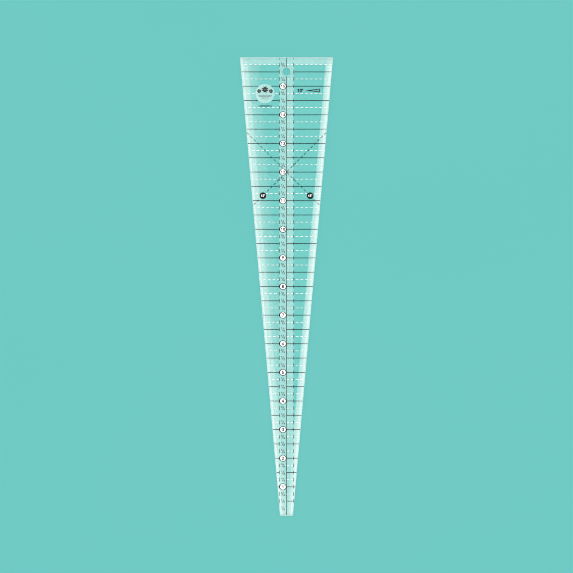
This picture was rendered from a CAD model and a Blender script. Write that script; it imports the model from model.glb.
"""Ten-degree wedge ruler for quilting: its finishes and its finer shapes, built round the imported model.

Metres, in the model's own frame: X across the ruler, +Y towards the wide end, +Z up, and the floor at
z = 0.  From the bottom up come the frosted non-slip strips, the ink, and the clear acrylic sheet.
"""

import math

import bpy
import numpy as np
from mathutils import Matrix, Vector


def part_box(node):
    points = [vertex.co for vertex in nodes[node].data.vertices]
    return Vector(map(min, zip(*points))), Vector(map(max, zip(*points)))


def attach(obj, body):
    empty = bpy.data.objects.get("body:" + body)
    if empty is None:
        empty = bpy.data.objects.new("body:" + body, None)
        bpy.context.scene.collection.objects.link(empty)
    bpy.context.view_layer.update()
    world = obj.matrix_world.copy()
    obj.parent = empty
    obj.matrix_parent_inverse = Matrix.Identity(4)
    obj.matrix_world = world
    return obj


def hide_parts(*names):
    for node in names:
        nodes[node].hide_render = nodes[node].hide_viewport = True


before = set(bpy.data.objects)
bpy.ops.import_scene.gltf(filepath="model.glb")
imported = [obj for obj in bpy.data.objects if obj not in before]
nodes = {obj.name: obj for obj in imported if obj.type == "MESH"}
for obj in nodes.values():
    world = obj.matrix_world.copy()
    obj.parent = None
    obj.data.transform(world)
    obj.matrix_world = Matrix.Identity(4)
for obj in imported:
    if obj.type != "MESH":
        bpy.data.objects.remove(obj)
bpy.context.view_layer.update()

MM = 0.001

# ---------------------------------------------------------------- sizes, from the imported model

HALF_ANGLE = math.radians(5)  # each cutting edge leans this far from the middle line
TAPER = math.tan(HALF_ANGLE)
sheet_low, sheet_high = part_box("acrylic_blade")
WIDE_HALF = sheet_high.x
HALF_LENGTH = sheet_high.y
AIR = 0.006 * MM  # between the ink and the sheet, so that no two faces share a plane
SHEET_BOTTOM = sheet_low.z + AIR
SHEET_TOP = sheet_high.z
BEVEL = 0.3 * MM
CORNER = 0.7 * MM  # plan radius of the wedge's corners
FILM_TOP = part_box("grip_centre_strip")[1].z - AIR

HOLE_RADIUS = 7.14 / 2 * MM
HOLE_MARGIN = 0.6 * MM  # bare ring between the hole and the centre strip
HOLE_INSET = 12.7 * MM  # wide end to the hole's middle
HOLE_CENTRE = np.array([0.0, HALF_LENGTH - HOLE_INSET])
STRIP_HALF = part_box("grip_centre_strip")[1].x
STRIP_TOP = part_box("grip_centre_strip")[1].y
LEFT_STRIP = 19 * MM  # widths of the strips along the cutting edges
RIGHT_STRIP = 6.6 * MM


def half_width(y):
    """Half the sheet's width at y: straight, narrowing by the taper from the wide end."""
    return WIDE_HALF - (HALF_LENGTH - y) * TAPER


# ---------------------------------------------------------------- meshes from arrays


def mesh_piece(name, points, quads, smooth=None, slots=None, uv=None):
    """An object from arrays: points (n, 3), quads (m, 4), and per quad a smooth flag and a slot number.

    uv holds one (u, v) for each corner of each quad, as an array (m, 4, 2).
    """
    mesh = bpy.data.meshes.new(name)
    mesh.vertices.add(len(points))
    mesh.vertices.foreach_set("co", points.astype(np.float32).ravel())
    mesh.loops.add(quads.size)
    mesh.loops.foreach_set("vertex_index", quads.astype(np.int32).ravel())
    mesh.polygons.add(len(quads))
    mesh.polygons.foreach_set("loop_start", np.arange(0, quads.size, 4, dtype=np.int32))
    mesh.polygons.foreach_set("loop_total", np.full(len(quads), 4, dtype=np.int32))
    if smooth is not None:
        mesh.polygons.foreach_set("use_smooth", smooth.ravel())
    if slots is not None:
        mesh.polygons.foreach_set("material_index", slots.astype(np.int32).ravel())
    if uv is not None:
        layer = mesh.uv_layers.new(name="UVMap")
        layer.data.foreach_set("uv", uv.astype(np.float32).ravel())
    mesh.update(calc_edges=True)
    mesh.validate()
    piece = bpy.data.objects.new(name, mesh)
    bpy.context.scene.collection.objects.link(piece)
    return piece


def wedge_outline(steps_per_corner=6, steps_per_side=26):
    """The wedge's outline seen from above, anticlockwise, as points and outward normals.

    Each corner is an arc about a centre that lies the corner radius in from both of its sides.  Along a
    side, the points are where rays from the hang hole's centre meet it, the rays turning by equal angles.
    """
    narrow = half_width(-HALF_LENGTH)
    narrow_end = [[-narrow, -HALF_LENGTH], [narrow, -HALF_LENGTH]]
    wide_end = [[WIDE_HALF, HALF_LENGTH], [-WIDE_HALF, HALF_LENGTH]]
    corners = np.array(narrow_end + wide_end)
    along = np.roll(corners, -1, axis=0) - corners
    along /= np.linalg.norm(along, axis=1)[:, None]
    normals = np.stack([along[:, 1], -along[:, 0]], axis=1)
    points, outward = [], []
    for k in range(4):
        before, after = normals[k - 1], normals[k]
        # The arc's centre lies CORNER inside both sides that meet at the corner.
        centre = corners[k] - CORNER * (before + after) / (1 + before @ after)
        start = math.atan2(before[1], before[0])
        turn = math.acos(np.clip(before @ after, -1, 1))
        angle = start + np.linspace(0, turn, steps_per_corner)
        arc = np.stack([np.cos(angle), np.sin(angle)], axis=1)
        points.append(centre + CORNER * arc)
        outward.append(arc)
        next_corner, beyond = corners[(k + 1) % 4], normals[(k + 1) % 4]
        far_centre = next_corner - CORNER * (after + beyond) / (1 + after @ beyond)
        side = np.stack([centre + CORNER * after, far_centre + CORNER * after]) - HOLE_CENTRE
        sight = np.unwrap(np.arctan2(side[:, 1], side[:, 0]))
        ray_angle = np.linspace(sight[0], sight[1], steps_per_side + 2)[1:-1]
        ray = np.stack([np.cos(ray_angle), np.sin(ray_angle)], axis=1)
        reach = (side[0] @ after) / (ray @ after)
        points.append(HOLE_CENTRE + ray * reach[:, None])
        outward.append(np.repeat(after[None], steps_per_side, axis=0))
    return np.concatenate(points), np.concatenate(outward)


ROUND_STEPS = 5  # rings in each quarter round


def acrylic_sheet(face_finish, edge_finish):
    """The clear sheet, as rings: down round its edge, inwards below, up the hang hole and back on top.

    A ring of the outer edge is the outline moved in by an inset, at a height.  A ring of the hole is a
    circle whose points lie on the rays to the outline's points.  Both edges are broken by quarter rounds.
    """
    outline, outward = wedge_outline()
    ray = outline - HOLE_CENTRE
    ray /= np.linalg.norm(ray, axis=1)[:, None]
    quarter = np.linspace(0, math.pi / 2, ROUND_STEPS)
    inset = BEVEL * (1 - np.sin(quarter))  # whole at the face, and none at the wall
    drop = BEVEL * (1 - np.cos(quarter))
    rings = []

    def level(plan, z):
        rings.append(np.column_stack([plan, np.full(len(plan), z)]))

    def outer(step_in, z):
        level(outline - outward * step_in, z)

    def inner(step_in, z):
        level(HOLE_CENTRE + ray * (HOLE_RADIUS + step_in), z)

    for step_in, down in zip(inset, drop):
        outer(step_in, SHEET_TOP - down)
    for step_in, up in zip(inset[::-1], drop[::-1]):
        outer(step_in, SHEET_BOTTOM + up)
    for step_in, up in zip(inset, drop):
        inner(step_in, SHEET_BOTTOM + up)
    for step_in, down in zip(inset[::-1], drop[::-1]):
        inner(step_in, SHEET_TOP - down)

    count, around = len(rings), len(outline)
    grid = np.arange(count * around).reshape(count, around)
    here, below = grid, np.roll(grid, -1, axis=0)
    quads = np.stack([here, below, np.roll(below, -1, axis=1), np.roll(here, -1, axis=1)], axis=-1)
    row = np.arange(count)
    face_row = (row == 2 * ROUND_STEPS - 1) | (row == 4 * ROUND_STEPS - 1)
    wall_row = (row == ROUND_STEPS - 1) | (row == 3 * ROUND_STEPS - 1)
    smooth = np.repeat(~(face_row | wall_row), around)
    slots = np.repeat(np.where(face_row, 0, 1), around)

    # Along u runs the length round the outline, and along v the height, both in metres.
    steps_round = np.linalg.norm(np.diff(outline, axis=0, append=outline[:1]), axis=1)
    length = np.concatenate([[0], np.cumsum(steps_round)])
    height = np.array([ring[0, 2] for ring in rings])
    u0 = np.broadcast_to(length[:-1], (count, around))
    u1 = np.broadcast_to(length[1:], (count, around))
    v0 = np.repeat(height[:, None], around, axis=1)
    v1 = np.roll(v0, -1, axis=0)
    corners = [np.stack(pair, axis=-1) for pair in ((u0, v0), (u0, v1), (u1, v1), (u1, v0))]
    uv = np.stack(corners, axis=2).reshape(-1, 4, 2)

    points, quads = np.concatenate(rings), quads.reshape(-1, 4)
    piece = mesh_piece("acrylic_sheet", points, quads, smooth, slots, uv)
    piece.data.materials.append(face_finish)
    piece.data.materials.append(edge_finish)
    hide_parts("acrylic_blade")
    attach(piece, "root")


FILM_COLUMNS = 9  # points across a film
RIM_SHARE = 0.55  # a film's thickness at its rim, as a share of its full thickness
RIM_REACH = 1 / 8  # how far in from the rim, as a share of its width, a film is at its full thickness


def film(name, near, far, cad_node, finish):
    """A thin closed film between two border lines that run the same way along it.

    Its points are a straight blend from the near border to the far one, on a grid, at the floor and at
    the film's top.  The top grid rises from its two long rims by a square root, so its rims are thin.
    """
    across = np.linspace(0, 1, FILM_COLUMNS)
    plan = near[:, None] + (far - near)[:, None] * across[None, :, None]
    rows, columns = plan.shape[:2]
    swell = np.sqrt(np.clip(np.minimum(across, 1 - across) / RIM_REACH, 0, 1))
    top = FILM_TOP * (RIM_SHARE + (1 - RIM_SHARE) * swell)
    upper = np.concatenate([plan, np.broadcast_to(top[None, :, None], (rows, columns, 1))], axis=2)
    lower = np.concatenate([plan, np.zeros((rows, columns, 1))], axis=2)
    grid = np.arange(rows * columns).reshape(rows, columns)
    a, b, c, d = grid[:-1, :-1], grid[:-1, 1:], grid[1:, 1:], grid[1:, :-1]
    lid = np.stack([a, b, c, d], axis=-1).reshape(-1, 4)
    base = np.stack([a, d, c, b], axis=-1).reshape(-1, 4) + rows * columns
    rim = np.concatenate([grid[0, :-1], grid[:-1, -1], grid[-1, :0:-1], grid[:0:-1, 0]])
    following = np.roll(rim, -1)
    wall = np.stack([following, rim, rim + rows * columns, following + rows * columns], axis=-1)
    points = np.concatenate([upper.reshape(-1, 3), lower.reshape(-1, 3)])
    quads = np.concatenate([lid, base, wall])
    (x0, y0), (x1, y1), (x2, y2) = plan[0, 0], plan[0, -1], plan[-1, -1]
    if (x1 - x0) * (y2 - y0) - (y1 - y0) * (x2 - x0) < 0:
        quads = quads[:, ::-1]
    smooth = np.zeros(len(quads), dtype=bool)
    smooth[: len(lid)] = True
    piece = mesh_piece(name, points, quads, smooth)
    piece.data.materials.append(finish)
    piece.visible_shadow = False
    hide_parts(cad_node)
    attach(piece, "root")


EDGE_ROWS = 160  # points along an edge strip
FOOT_GAP = 0.5 * MM  # an edge strip starts this far up from where it has no width


def edge_film(name, side, width, cad_node, finish):
    """The strip along one cutting edge, from where it leaves the centre strip to the wide-end strip."""
    reach = WIDE_HALF - BEVEL
    foot = HALF_LENGTH - (reach - STRIP_HALF) / TAPER + FOOT_GAP
    y = np.linspace(foot, STRIP_TOP, EDGE_ROWS)
    outer = half_width(y) - BEVEL
    inner = np.maximum(outer - width / math.cos(HALF_ANGLE), STRIP_HALF)
    near, far = np.column_stack([side * outer, y]), np.column_stack([side * inner, y])
    film(name, near, far, cad_node, finish)


END_ROWS = 12  # points up the wide-end strip


def wide_end_film(finish):
    """The strip across the wide end, from edge to edge."""
    y = np.linspace(STRIP_TOP, HALF_LENGTH - BEVEL, END_ROWS)
    reach = half_width(y) - BEVEL
    left, right = np.column_stack([-reach, y]), np.column_stack([reach, y])
    film("frost_wide_end", left, right, "grip_wide_end", finish)


ROWS_BELOW_HOLE, ROWS_ROUND_HOLE, ROWS_ABOVE_HOLE = 150, 33, 6  # points up the centre strip


def centre_film(finish):
    """The strip along the middle, left out in a ring round the hang hole, and as wide as the tip below.

    It is a left and a right half, whose rows are level.  A half's inner border is the middle line, or
    beside the hole the circle round it: the square root of the radius squared less the rise squared.
    """
    low = -HALF_LENGTH + BEVEL
    clear = HOLE_RADIUS + HOLE_MARGIN
    hole_low, hole_high = HOLE_CENTRE[1] - clear, HOLE_CENTRE[1] + clear
    turn = np.linspace(-math.pi / 2, math.pi / 2, ROWS_ROUND_HOLE)
    round_y = HOLE_CENTRE[1] + clear * np.sin(turn)
    below = np.linspace(low, hole_low, ROWS_BELOW_HOLE)[:-1]
    above = np.linspace(hole_high, STRIP_TOP, ROWS_ABOVE_HOLE)[1:]
    y = np.concatenate([below, round_y, above])
    outer = np.minimum(half_width(y) - BEVEL, STRIP_HALF)
    rise = np.abs(y - HOLE_CENTRE[1])
    inner = np.sqrt(np.clip(clear**2 - rise**2, 0, None))
    for side, name in ((-1, "frost_centre_left"), (1, "frost_centre_right")):
        near, far = np.column_stack([side * inner, y]), np.column_stack([side * outer, y])
        film(name, near, far, "grip_centre_strip", finish)


# ---------------------------------------------------------------- node helpers


def new_material(name):
    """A material with only an output node, and its node tree."""
    material = bpy.data.materials.new(name)
    material.use_nodes = True
    tree = material.node_tree
    tree.nodes.clear()
    tree.nodes.new("ShaderNodeOutputMaterial")
    return material, tree


def output_of(tree):
    return next(node for node in tree.nodes if node.type == "OUTPUT_MATERIAL")


def node(tree, kind, inputs=None, **settings):
    """A node of a kind, with its settings and its inputs: a socket links, and a value is set."""
    made = tree.nodes.new(kind)
    for name, value in settings.items():
        setattr(made, name, value)
    for name, value in (inputs or {}).items():
        if isinstance(value, bpy.types.NodeSocket):
            tree.links.new(value, made.inputs[name])
        else:
            made.inputs[name].default_value = value
    return made


def place(tree):
    """Object coordinates, in metres."""
    return node(tree, "ShaderNodeTexCoord").outputs["Object"]


def noise(tree, vector, scale, detail=2.0, roughness=0.5):
    """Noise between nought and one, with that many cells to the metre."""
    inputs = {"Vector": vector, "Scale": scale, "Detail": detail, "Roughness": roughness}
    return node(tree, "ShaderNodeTexNoise", inputs).outputs["Fac"]


def spread(tree, value, low, high, start=0.0, end=1.0):
    """value mapped from start..end to low..high, and held at the ends."""
    inputs = {"Value": value, "From Min": start, "From Max": end, "To Min": low, "To Max": high}
    return node(tree, "ShaderNodeMapRange", inputs).outputs["Result"]


def maths(tree, operation, first, second=0.0):
    """One Math node."""
    return node(tree, "ShaderNodeMath", {0: first, 1: second}, operation=operation).outputs[0]


def blend_colour(tree, share, first, second):
    """A mix of two colours by share."""
    made = node(tree, "ShaderNodeMix", data_type="RGBA")
    tree.links.new(share, made.inputs[0])
    made.inputs[6].default_value = (*first, 1)
    made.inputs[7].default_value = (*second, 1)
    return made.outputs[2]


def bump(tree, height, distance, strength=1.0):
    """A bumped normal from a height."""
    inputs = {"Height": height, "Distance": distance, "Strength": strength}
    return node(tree, "ShaderNodeBump", inputs).outputs["Normal"]


def ramp(tree, value, stops):
    """A smooth curve through (place, grey) stops."""
    made = node(tree, "ShaderNodeValToRGB", {"Fac": value})
    made.color_ramp.interpolation = "EASE"
    elements = made.color_ramp.elements
    while len(elements) < len(stops):
        elements.new(0.5)
    for element, (at, grey) in zip(elements, stops):
        element.position = at
        element.color = (grey, grey, grey, 1)
    return made.outputs["Color"]


# ---------------------------------------------------------------- acrylic


def lets_light_through(tree, glass, tint):
    """glass for the eye, and clear, tinted air for light on its way to what lies below."""
    path = node(tree, "ShaderNodeLightPath")
    share = maths(tree, "MAXIMUM", path.outputs["Is Shadow Ray"], path.outputs["Is Diffuse Ray"])
    through = node(tree, "ShaderNodeBsdfTransparent", {"Color": (*tint, 1)})
    mixed = node(tree, "ShaderNodeMixShader", {0: share, 1: glass, 2: through.outputs[0]})
    tree.links.new(mixed.outputs[0], output_of(tree).inputs["Surface"])


# What each face of the sheet passes on of the light that falls on what lies below.  It is a little more
# than all of it, which no real sheet does, so that the clear parts read as lighter than the bare table.
LIGHT_THROUGH = (1.07, 1.065, 1.06)


def clear_acrylic():
    """Cast acrylic: polished, with the faint long waves of a cast sheet and a few hairline rubs."""
    material, tree = new_material("clear_acrylic")
    where = place(tree)
    waves = noise(tree, where, scale=22.0, detail=1.0)
    rub_shape = {"Vector": where, "Scale": (900.0, 60.0, 1.0), "Rotation": (0, 0, 0.5)}
    rubbed = node(tree, "ShaderNodeMapping", rub_shape)
    rubs = noise(tree, rubbed.outputs[0], scale=1.0, detail=3.0, roughness=0.7)
    roughness = spread(tree, rubs, low=0.0, high=0.04, start=0.62, end=0.8)
    inputs = {
        "Base Color": (0.995, 1.0, 0.998, 1),
        "Roughness": roughness,
        "IOR": 1.49,
        "Transmission Weight": 1.0,
        "Normal": bump(tree, waves, distance=0.05 * MM, strength=0.6),
    }
    glass = node(tree, "ShaderNodeBsdfPrincipled", inputs)
    lets_light_through(tree, glass.outputs[0], LIGHT_THROUGH)
    return material


SATIN_SHARE = 0.4  # how much of the cut edge is satin rather than clear
LIGHT_THROUGH_EDGE = (0.8, 0.88, 0.87)


def cut_edge():
    """The sheet's sawn and flamed edge: satin, with fine upright tool marks along its length."""
    material, tree = new_material("cut_acrylic_edge")
    uv = node(tree, "ShaderNodeUVMap").outputs[0]
    marks_at = node(tree, "ShaderNodeMapping", {"Vector": uv, "Scale": (2600.0, 90.0, 1.0)})
    marks = noise(tree, marks_at.outputs[0], scale=1.0, detail=3.0, roughness=0.6)
    inputs = {
        "Base Color": (0.93, 0.985, 0.97, 1),
        "Roughness": spread(tree, marks, low=0.14, high=0.3, start=0.3, end=0.7),
        "IOR": 1.49,
        "Transmission Weight": 1.0,
        "Normal": bump(tree, marks, distance=0.01 * MM, strength=0.35),
    }
    glass = node(tree, "ShaderNodeBsdfPrincipled", inputs)
    satin_look = {"Base Color": (0.8, 0.92, 0.9, 1), "Roughness": 0.5}
    satin = node(tree, "ShaderNodeBsdfPrincipled", satin_look)
    edge = node(tree, "ShaderNodeMixShader", {0: SATIN_SHARE, 1: glass.outputs[0], 2: satin.outputs[0]})
    lets_light_through(tree, edge.outputs[0], LIGHT_THROUGH_EDGE)
    return material


# ---------------------------------------------------------------- frost


def straight_distance(tree, where, normal, offset):
    """Distance in from a straight border: the place's dot product with a plan normal, plus an offset."""
    dot = node(tree, "ShaderNodeVectorMath", {0: where, 1: (*normal, 0.0)}, operation="DOT_PRODUCT")
    return maths(tree, "ADD", dot.outputs["Value"], offset)


def cover_by_distance(tree, distance, stops):
    """How much the haze hides, by distance in: stops are (millimetres in from the border, cover)."""
    reach = stops[-1][0]
    share = maths(tree, "DIVIDE", distance, reach * MM)
    return ramp(tree, share, [(at / reach, cover) for at, cover in stops])


# What each of a strip's two faces hides, by millimetres in from its border.
LEFT_COVER = [
    (0.0, 0.3),
    (0.8, 0.47),
    (1.6, 0.45),
    (2.6, 0.23),
    (5.6, 0.19),
    (7.6, 0.085),
    (12.0, 0.045),
    (19.0, 0.0),
]
RIGHT_COVER = [(0.0, 0.3), (0.8, 0.44), (1.7, 0.4), (3.0, 0.26), (4.8, 0.19), (5.6, 0.14), (6.5, 0.0)]
END_COVER = [(0.0, 0.26), (0.6, 0.15), (5.2, 0.125), (6.8, 0.0)]
CENTRE_COVER = [(0.0, 0.12), (6.1, 0.12), (6.4, 0.0)]


def frost():
    """Gritty matt strips: a white haze whose cover depends on how far in from each border it lies.

    Along a cutting edge the haze is densest about a millimetre in.  The left strip thins out softly, and
    the right one stops short.  The wide-end and centre strips are thinner.
    """
    material, tree = new_material("grip_frost")
    where = place(tree)
    across, down = math.cos(HALF_ANGLE), math.sin(HALF_ANGLE)
    offset = WIDE_HALF * across - HALF_LENGTH * down
    borders = [
        ((across, down), offset, LEFT_COVER),
        ((-across, down), offset, RIGHT_COVER),
        ((0.0, -1.0), HALF_LENGTH, END_COVER),
    ]
    covers = []
    for normal, start, stops in borders:
        covers.append(cover_by_distance(tree, straight_distance(tree, where, normal, start), stops))
    split = node(tree, "ShaderNodeSeparateXYZ", {0: where})
    covers.append(cover_by_distance(tree, maths(tree, "ABSOLUTE", split.outputs["X"]), CENTRE_COVER))
    cover = covers[0]
    for other in covers[1:]:
        cover = maths(tree, "MAXIMUM", cover, other)
    grains = noise(tree, where, scale=2400.0, detail=3.0, roughness=0.7)
    grit = spread(tree, grains, low=0.8, high=1.2, start=0.3, end=0.7)
    patches = noise(tree, where, scale=90.0, detail=2.0)
    cloud = spread(tree, patches, low=0.93, high=1.07, start=0.3, end=0.7)
    cover = maths(tree, "MULTIPLY", cover, maths(tree, "MULTIPLY", grit, cloud))
    tooth = noise(tree, where, scale=3200.0, detail=2.0, roughness=0.6)
    inputs = {
        "Base Color": (0.93, 0.96, 0.955, 1),
        "Roughness": 0.85,
        "IOR": 1.49,
        "Normal": bump(tree, tooth, distance=0.03 * MM, strength=0.8),
    }
    haze = node(tree, "ShaderNodeBsdfPrincipled", inputs)
    clear = node(tree, "ShaderNodeBsdfTransparent")
    mixed = node(tree, "ShaderNodeMixShader", {0: cover, 1: clear.outputs[0], 2: haze.outputs[0]})
    tree.links.new(mixed.outputs[0], output_of(tree).inputs["Surface"])
    return material


# ---------------------------------------------------------------- ink


INK_SHINE = 0.03  # the ink is bonded to the sheet, so almost nothing shines between the two
TOOTH_SHARE = 0.35  # how much the fine tooth adds to the cloudy lay


def screen_ink(name, thin, full, roughness, cover=1.0):
    """Screen-printed ink: a cloudy lay between its thin and its full colour, with the mesh's fine tooth.

    cover is how much of what lies below each face of the film hides.
    """
    material, tree = new_material(name)
    where = place(tree)
    lay = noise(tree, where, scale=420.0, detail=3.0, roughness=0.6)
    tooth = noise(tree, where, scale=4200.0, detail=2.0, roughness=0.6)
    patchy = node(tree, "ShaderNodeMath", {0: tooth, 1: TOOTH_SHARE, 2: lay}, operation="MULTIPLY_ADD")
    share = spread(tree, patchy.outputs[0], low=0.0, high=1.0, start=0.35, end=0.95)
    inputs = {
        "Base Color": blend_colour(tree, share, thin, full),
        "Roughness": spread(tree, tooth, low=roughness - 0.07, high=roughness + 0.1, start=0.3, end=0.7),
        "Specular IOR Level": INK_SHINE,
        "Normal": bump(tree, tooth, distance=0.012 * MM, strength=0.6),
    }
    paint = node(tree, "ShaderNodeBsdfPrincipled", inputs)
    if cover < 1:
        clear = node(tree, "ShaderNodeBsdfTransparent")
        hidden = spread(tree, lay, low=cover * 0.85, high=cover * 1.15, start=0.3, end=0.7)
        paint = node(tree, "ShaderNodeMixShader", {0: hidden, 1: clear.outputs[0], 2: paint.outputs[0]})
    tree.links.new(paint.outputs[0], output_of(tree).inputs["Surface"])
    return material


INK_NODES = {
    "black_ink": [
        "centre_line",
        "half_inch_lines",
        "seam_dashes_left",
        "seam_dashes_right",
        "angle_line_falling",
        "angle_line_rising",
        "inch_numerals",
        "number_rings",
        "fraction_marks",
        "angle_badges",
        "emblem_stars",
        "emblem_ticks",
        "title_mark",
    ],
    "white_ink": [
        "quarter_inch_dashes_left",
        "quarter_inch_dashes_right",
        "number_discs",
        "angle_numerals",
    ],
    "pale_ink": ["emblem_disc"],
}


def ink_the_marks():
    """Give every printed node its ink."""
    black = screen_ink("black_ink", (0.008, 0.010, 0.011), (0.003, 0.0035, 0.004), roughness=0.42)
    white = screen_ink("white_ink", (0.88, 0.90, 0.895), (0.95, 0.955, 0.945), roughness=0.5)
    pale = screen_ink("pale_ink", (0.8, 0.87, 0.86), (0.9, 0.93, 0.92), roughness=0.5, cover=0.17)
    inks = {"black_ink": black, "white_ink": white, "pale_ink": pale}
    for ink, names in INK_NODES.items():
        for name in names:
            mark = nodes[name]
            mark.data.materials.clear()
            mark.data.materials.append(inks[ink])
    nodes["emblem_disc"].visible_shadow = False


# ---------------------------------------------------------------- studio

CAMERA_LENS = 90.0  # millimetres, on a 36 mm sensor
SENSOR = 36.0
VIEW_SPAN = 507.7 * MM  # the square that the camera takes in, level with the sheet's top
FLOOR_HALF = 6.0
FLOOR_DROP = 0.2 * MM  # the floor lies this far under the ruler, so that no two faces share a plane
LOW_LIGHT = 0.3  # brightness of the room near the floor, half way up and straight above
ROOM_LIGHT = 0.68
OVERHEAD_LIGHT = 0.22
WINDOW_LIGHT = 0.35  # what the window adds at its middle
WINDOW_WAY = (-0.42, 0.68, 0.6)
BOUNCES = 24
GLOSSY_BOUNCES = 16
TRANSPARENT_BOUNCES = 40  # a look through the sheet and the films below crosses many faces


def floor():
    """A wide matt table top in pale aqua, just under the ruler."""
    corners = FLOOR_HALF * np.array([[-1, -1], [1, -1], [1, 1], [-1, 1]])
    points = np.column_stack([corners, np.full(4, -FLOOR_DROP)])
    ground = mesh_piece("floor", points, np.array([[0, 1, 2, 3]]))
    material, tree = new_material("pale_table")
    where = place(tree)
    cloud = noise(tree, where, scale=3.0, detail=1.0)
    tone = blend_colour(tree, cloud, (0.128, 0.475, 0.448), (0.14, 0.487, 0.46))
    matt = node(tree, "ShaderNodeBsdfDiffuse", {"Color": tone})
    tree.links.new(matt.outputs[0], output_of(tree).inputs["Surface"])
    ground.data.materials.append(material)


def surroundings():
    """A soft pale room: brightest half way up, darker straight above, with a broad soft window back left.

    The brightness follows the way that a ray leaves: its rise, and how near it is to the window's middle.
    """
    world = bpy.data.worlds.new("studio")
    bpy.context.scene.world = world
    world.use_nodes = True
    tree = world.node_tree
    tree.nodes.clear()
    way = node(tree, "ShaderNodeTexCoord").outputs["Generated"]
    rise = node(tree, "ShaderNodeSeparateXYZ", {0: way}).outputs["Z"]
    walls = spread(tree, rise, LOW_LIGHT, ROOM_LIGHT, start=0.05, end=0.5)
    ceiling = spread(tree, rise, ROOM_LIGHT, OVERHEAD_LIGHT, start=0.85, end=0.97)
    room = maths(tree, "MINIMUM", walls, ceiling)
    facing = node(tree, "ShaderNodeVectorMath", {0: way, 1: WINDOW_WAY}, operation="DOT_PRODUCT")
    window = spread(tree, facing.outputs["Value"], 0.0, WINDOW_LIGHT, start=0.7, end=0.98)
    glow = maths(tree, "ADD", room, window)
    sky = node(tree, "ShaderNodeBackground", {"Color": (1.0, 1.0, 1.0, 1), "Strength": glow})
    end = tree.nodes.new("ShaderNodeOutputWorld")
    tree.links.new(sky.outputs[0], end.inputs["Surface"])


def soft_light(name, turn, rise, width, strength, colour):
    """A broad distant light from a compass turn and a rise, both in degrees, and as wide as given.

    It doesn't show in what the sheet mirrors, so no hard shape of a lamp lies across the marks.
    """
    lamp = bpy.data.lights.new(name, "SUN")
    lamp.angle = math.radians(width)
    lamp.energy = strength
    lamp.color = colour
    item = bpy.data.objects.new(name, lamp)
    item.rotation_euler = (math.radians(90 - rise), 0, math.radians(turn))
    item.visible_glossy = False
    item.visible_transmission = False
    bpy.context.scene.collection.objects.link(item)


def camera():
    """Straight above the ruler, with the wide end at the top of the frame."""
    lens = bpy.data.cameras.new("camera")
    lens.lens = CAMERA_LENS
    lens.sensor_width = SENSOR
    item = bpy.data.objects.new("camera", lens)
    item.location = (0, 0, SHEET_TOP + VIEW_SPAN * CAMERA_LENS / SENSOR)
    bpy.context.scene.collection.objects.link(item)
    bpy.context.scene.camera = item


# ---------------------------------------------------------------- the ruler

acrylic_sheet(clear_acrylic(), cut_edge())
haze = frost()
edge_film("frost_left_edge", -1, LEFT_STRIP, "grip_left_edge", haze)
edge_film("frost_right_edge", 1, RIGHT_STRIP, "grip_right_edge", haze)
wide_end_film(haze)
centre_film(haze)
ink_the_marks()

floor()
surroundings()
soft_light("key", turn=220, rise=52, width=30, strength=1.6, colour=(1.0, 0.99, 0.97))
soft_light("fill", turn=60, rise=58, width=50, strength=0.75, colour=(0.97, 0.99, 1.0))
camera()
scene = bpy.context.scene
scene.view_settings.view_transform = "Standard"
scene.cycles.filter_width = 1.0
scene.cycles.max_bounces = BOUNCES
scene.cycles.glossy_bounces = GLOSSY_BOUNCES
scene.cycles.transmission_bounces = BOUNCES
scene.cycles.transparent_max_bounces = TRANSPARENT_BOUNCES
